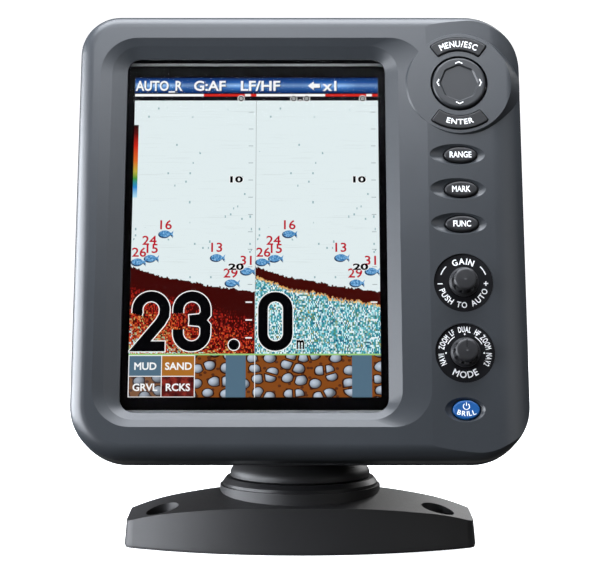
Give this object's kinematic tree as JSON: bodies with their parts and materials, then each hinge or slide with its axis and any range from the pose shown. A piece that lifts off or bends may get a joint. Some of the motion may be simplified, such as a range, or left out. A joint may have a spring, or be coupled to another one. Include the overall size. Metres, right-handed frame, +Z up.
{
  "type": "console fish finder",
  "caption": "Upright colour echo-sounder display with a column of keys and two dials, on a tilt and swivel base.",
  "frame": {"origin": "on the swivel axis, at the underside of the rubber pad that the base stands on", "axes": "+Z up along the swivel axis, -Y towards the viewer of the screen, +X to the viewer's right"},
  "size_m": [0.2324, 0.1138, 0.2787],
  "materials": {
    "front_bezel": "fine-grained satin, dark bluish grey",
    "window_glass": "polished, anti-reflection coated",
    "window_gasket": "foam",
    "lcd_panel": "lit colour display",
    "backlight_unit": "white",
    "lcd_frame": "zinc plated sheet",
    "key_mat": "silicone",
    "menu_key": "satin with a white legend",
    "enter_key": "satin with a white legend",
    "cursor_pad": "satin with four white chevrons",
    "cursor_rocker": "natural acetal",
    "range_key": "satin with a white legend",
    "mark_key": "satin with a white legend",
    "func_key": "satin with a white legend",
    "power_key": "satin blue with a white symbol",
    "gain_dial": "black with white legends",
    "mode_dial": "black with white legends",
    "gain_knob": "soft black",
    "mode_knob": "soft black",
    "gain_shaft": "turned",
    "mode_shaft": "turned",
    "gain_plunger": "natural acetal",
    "gain_encoder": "die cast",
    "mode_switch": "die cast",
    "control_nuts": "nickel plated",
    "key_board": "solder-masked board",
    "main_board": "solder-masked board",
    "main_board_parts": "moulded and plated parts",
    "buzzer": "moulded",
    "board_standoffs": "nickel plated",
    "board_screws": "zinc plated",
    "power_board": "solder-masked board",
    "power_parts": "moulded parts",
    "key_ribbon": "flat cable",
    "lcd_ribbon": "flat cable",
    "rear_cover": "fine-grained black",
    "case_gasket": "silicone",
    "case_screws": "stainless",
    "transducer_socket": "glass-filled nylon",
    "power_socket": "glass-filled nylon",
    "socket_contacts": "gold plated",
    "socket_seals": "smooth",
    "socket_nuts": "moulded",
    "ground_stud": "stainless",
    "wing_nut": "stainless",
    "vent_plug": "moulded",
    "tilt_bracket": "fine-grained black",
    "bracket_screws": "stainless",
    "tilt_pin": "stainless",
    "tilt_washers": "natural acetal",
    "clamp_washer": "stainless",
    "clamp_knob": "moulded black",
    "swivel_turret": "fine-grained black",
    "swivel_bolt": "stainless",
    "swivel_washer": "stainless",
    "swivel_nut": "stainless",
    "friction_ring": "acetal",
    "collar_ring": "moulded black",
    "mount_base": "fine-grained black",
    "base_pad": "flat foam sheet"
  },
  "bodies": {
    "base": {"mount_base": "mount_base", "base_pad": "base_pad", "collar_ring": "collar_ring", "friction_ring": "friction_ring"},
    "turret": {"swivel_turret": "swivel_turret", "swivel_bolt": "swivel_bolt", "swivel_washer": "swivel_washer", "swivel_nut": "swivel_nut", "tilt_pin": "tilt_pin", "tilt_washers": "tilt_washers"},
    "clamp_washer": {"clamp_washer": "clamp_washer"},
    "clamp_knob": {"clamp_knob": "clamp_knob"},
    "cursor_rocker": {"cursor_rocker": "cursor_rocker"},
    "cursor_pad": {"cursor_pad": "cursor_pad"},
    "gain_plunger": {"gain_plunger": "gain_plunger"},
    "gain_knob": {"gain_knob": "gain_knob", "gain_shaft": "gain_shaft"},
    "mode_knob": {"mode_knob": "mode_knob", "mode_shaft": "mode_shaft"},
    "menu_key": {"menu_key": "menu_key"},
    "enter_key": {"enter_key": "enter_key"},
    "range_key": {"range_key": "range_key"},
    "mark_key": {"mark_key": "mark_key"},
    "func_key": {"func_key": "func_key"},
    "power_key": {"power_key": "power_key"},
    "display": {"front_bezel": "front_bezel", "window_glass": "window_glass", "window_gasket": "window_gasket", "lcd_panel": "lcd_panel", "backlight_unit": "backlight_unit", "lcd_frame": "lcd_frame", "key_mat": "key_mat", "gain_dial": "gain_dial", "mode_dial": "mode_dial", "gain_encoder": "gain_encoder", "mode_switch": "mode_switch", "control_nuts": "control_nuts", "key_board": "key_board", "main_board": "main_board", "main_board_parts": "main_board_parts", "buzzer": "buzzer", "board_standoffs": "board_standoffs", "board_screws": "board_screws", "power_board": "power_board", "power_parts": "power_parts", "key_ribbon": "key_ribbon", "lcd_ribbon": "lcd_ribbon", "rear_cover": "rear_cover", "case_gasket": "case_gasket", "case_screws": "case_screws", "transducer_socket": "transducer_socket", "power_socket": "power_socket", "socket_contacts": "socket_contacts", "socket_seals": "socket_seals", "socket_nuts": "socket_nuts", "ground_stud": "ground_stud", "wing_nut": "wing_nut", "vent_plug": "vent_plug", "tilt_bracket": "tilt_bracket", "bracket_screws": "bracket_screws"}
  },
  "joints": [
    {"name": "swivel", "type": "hinge", "parent": "base", "child": "turret", "pos_m": [0, 0, 0.034], "axis": [0, 0, 1], "range_deg": [-90, 90]},
    {"name": "tilt", "type": "hinge", "parent": "turret", "child": "display", "pos_m": [0, -0.00759, 0.06207], "axis": [-1, 0, 0], "range_deg": [-8, 30]},
    {"name": "clamp_slide", "type": "slide", "parent": "turret", "child": "clamp_washer", "axis": [1, 0, 0], "range_m": [0, 0.0025]},
    {"name": "clamp_turn", "type": "hinge", "parent": "clamp_washer", "child": "clamp_knob", "pos_m": [0.033, -0.00759, 0.06207], "axis": [1, 0, 0], "range_deg": [0, 722]},
    {"name": "cursor_up_down", "type": "hinge", "parent": "display", "child": "cursor_rocker", "pos_m": [0.083, -0.01672, 0.24037], "axis": [1, 0, 0], "range_deg": [-3, 3], "stiffness_Nm_per_rad": 0.6},
    {"name": "cursor_left_right", "type": "hinge", "parent": "cursor_rocker", "child": "cursor_pad", "pos_m": [0.083, -0.01672, 0.24037], "axis": [0, 0.2079, 0.9781], "range_deg": [-3, 3], "stiffness_Nm_per_rad": 0.6},
    {"name": "gain_push", "type": "slide", "parent": "display", "child": "gain_plunger", "axis": [0, 0.9781, -0.2079], "range_m": [0, 0.0008], "stiffness_N_per_m": 2500, "springref_m": -0.0006},
    {"name": "gain_turn", "type": "hinge", "parent": "gain_plunger", "child": "gain_knob", "pos_m": [0.083, -0.04858, 0.13857], "axis": [0, -0.9781, 0.2079], "continuous": true},
    {"name": "mode_turn", "type": "hinge", "parent": "display", "child": "mode_knob", "pos_m": [0.083, -0.05609, 0.10326], "axis": [0, -0.9781, 0.2079], "range_deg": [-90, 90]},
    {"name": "menu_press", "type": "slide", "parent": "display", "child": "menu_key", "axis": [0, 0.9781, -0.2079], "range_m": [0, 0.0008], "stiffness_N_per_m": 1500, "springref_m": -0.001},
    {"name": "enter_press", "type": "slide", "parent": "display", "child": "enter_key", "axis": [0, 0.9781, -0.2079], "range_m": [0, 0.0008], "stiffness_N_per_m": 1500, "springref_m": -0.001},
    {"name": "range_press", "type": "slide", "parent": "display", "child": "range_key", "axis": [0, 0.9781, -0.2079], "range_m": [0, 0.0008], "stiffness_N_per_m": 1500, "springref_m": -0.001},
    {"name": "mark_press", "type": "slide", "parent": "display", "child": "mark_key", "axis": [0, 0.9781, -0.2079], "range_m": [0, 0.0008], "stiffness_N_per_m": 1500, "springref_m": -0.001},
    {"name": "func_press", "type": "slide", "parent": "display", "child": "func_key", "axis": [0, 0.9781, -0.2079], "range_m": [0, 0.0008], "stiffness_N_per_m": 1500, "springref_m": -0.001},
    {"name": "power_press", "type": "slide", "parent": "display", "child": "power_key", "axis": [0, 0.9781, -0.2079], "range_m": [0, 0.0008], "stiffness_N_per_m": 1500, "springref_m": -0.001}
  ],
  "couplings": [
    {"joint": "clamp_turn", "follows": "clamp_slide", "rad_per_m": 5026.5}
  ]
}
